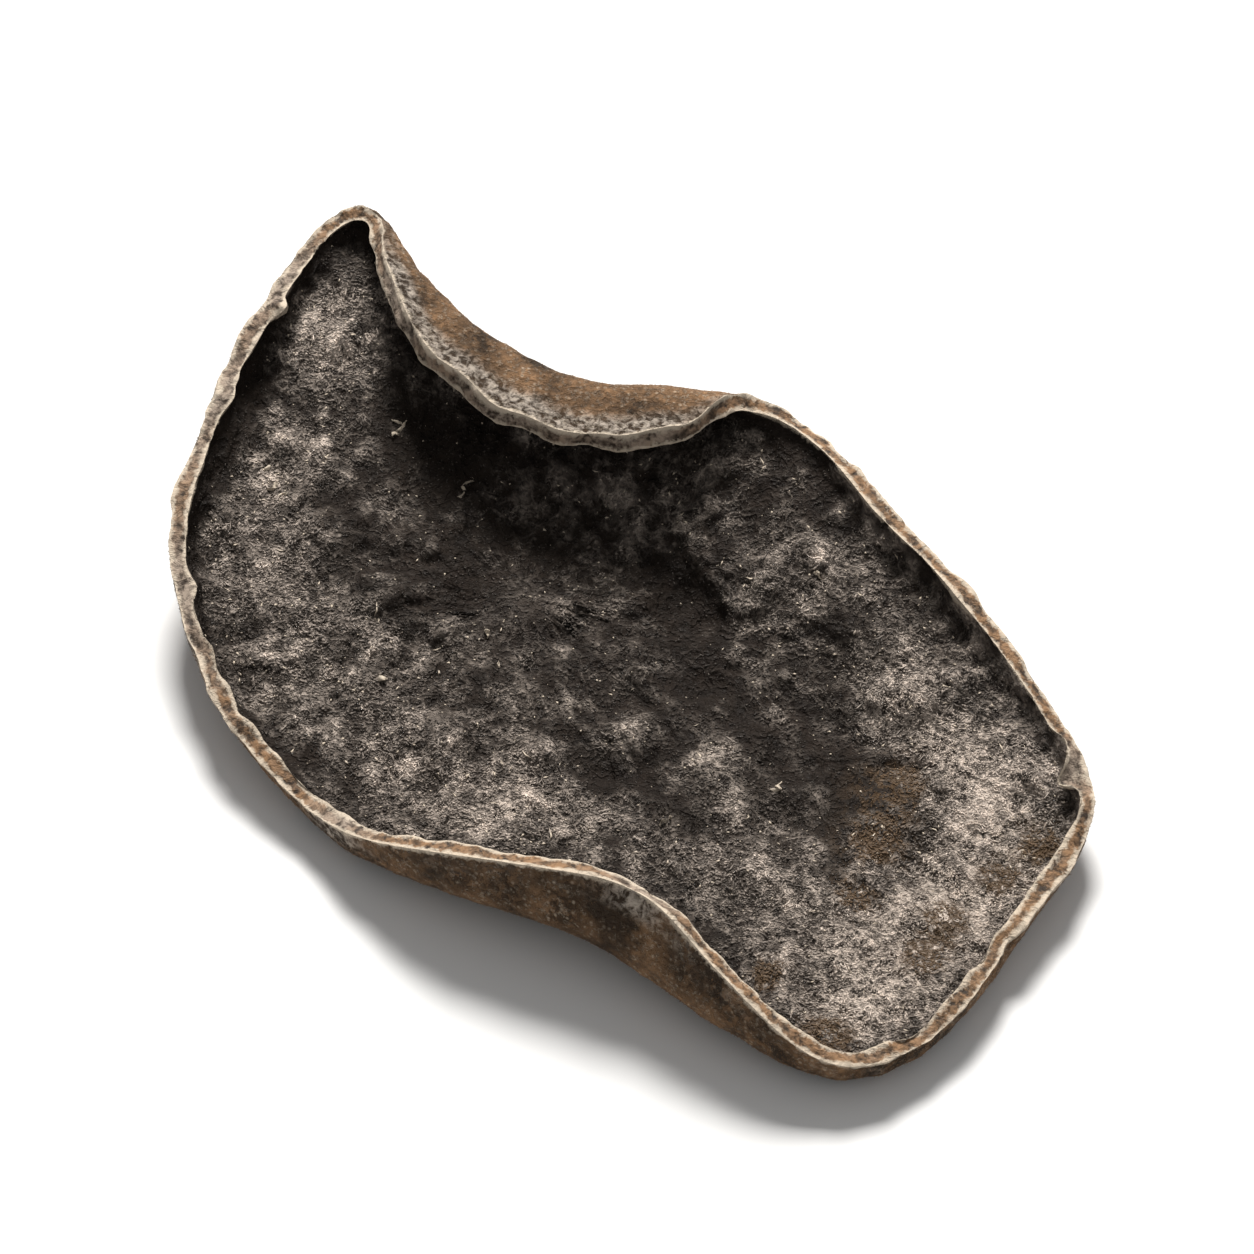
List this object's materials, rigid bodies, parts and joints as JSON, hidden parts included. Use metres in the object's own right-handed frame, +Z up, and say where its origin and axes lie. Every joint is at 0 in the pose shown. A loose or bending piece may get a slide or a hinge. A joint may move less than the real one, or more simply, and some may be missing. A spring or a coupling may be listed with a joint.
{
  "type": "dried wood ear mushroom",
  "caption": "Whole dried wood ear fungus: a thin, shallow, cupped sheet with an upturned and partly rolled margin, resting on its cut stalk.",
  "frame": {"origin": "on the surface that the ear rests on, under the middle of its box", "axes": "+Z up out of the cup, +Y towards the pinched beak, +X towards the square corner"},
  "size_m": [0.047, 0.0532, 0.0101],
  "materials": {
    "dried_flesh": "matt and leathery: the inner face near black with a grey frost, the outer face a tan velvety nap"
  },
  "bodies": {
    "root": {"ear": "dried_flesh"}
  },
  "joints": []
}
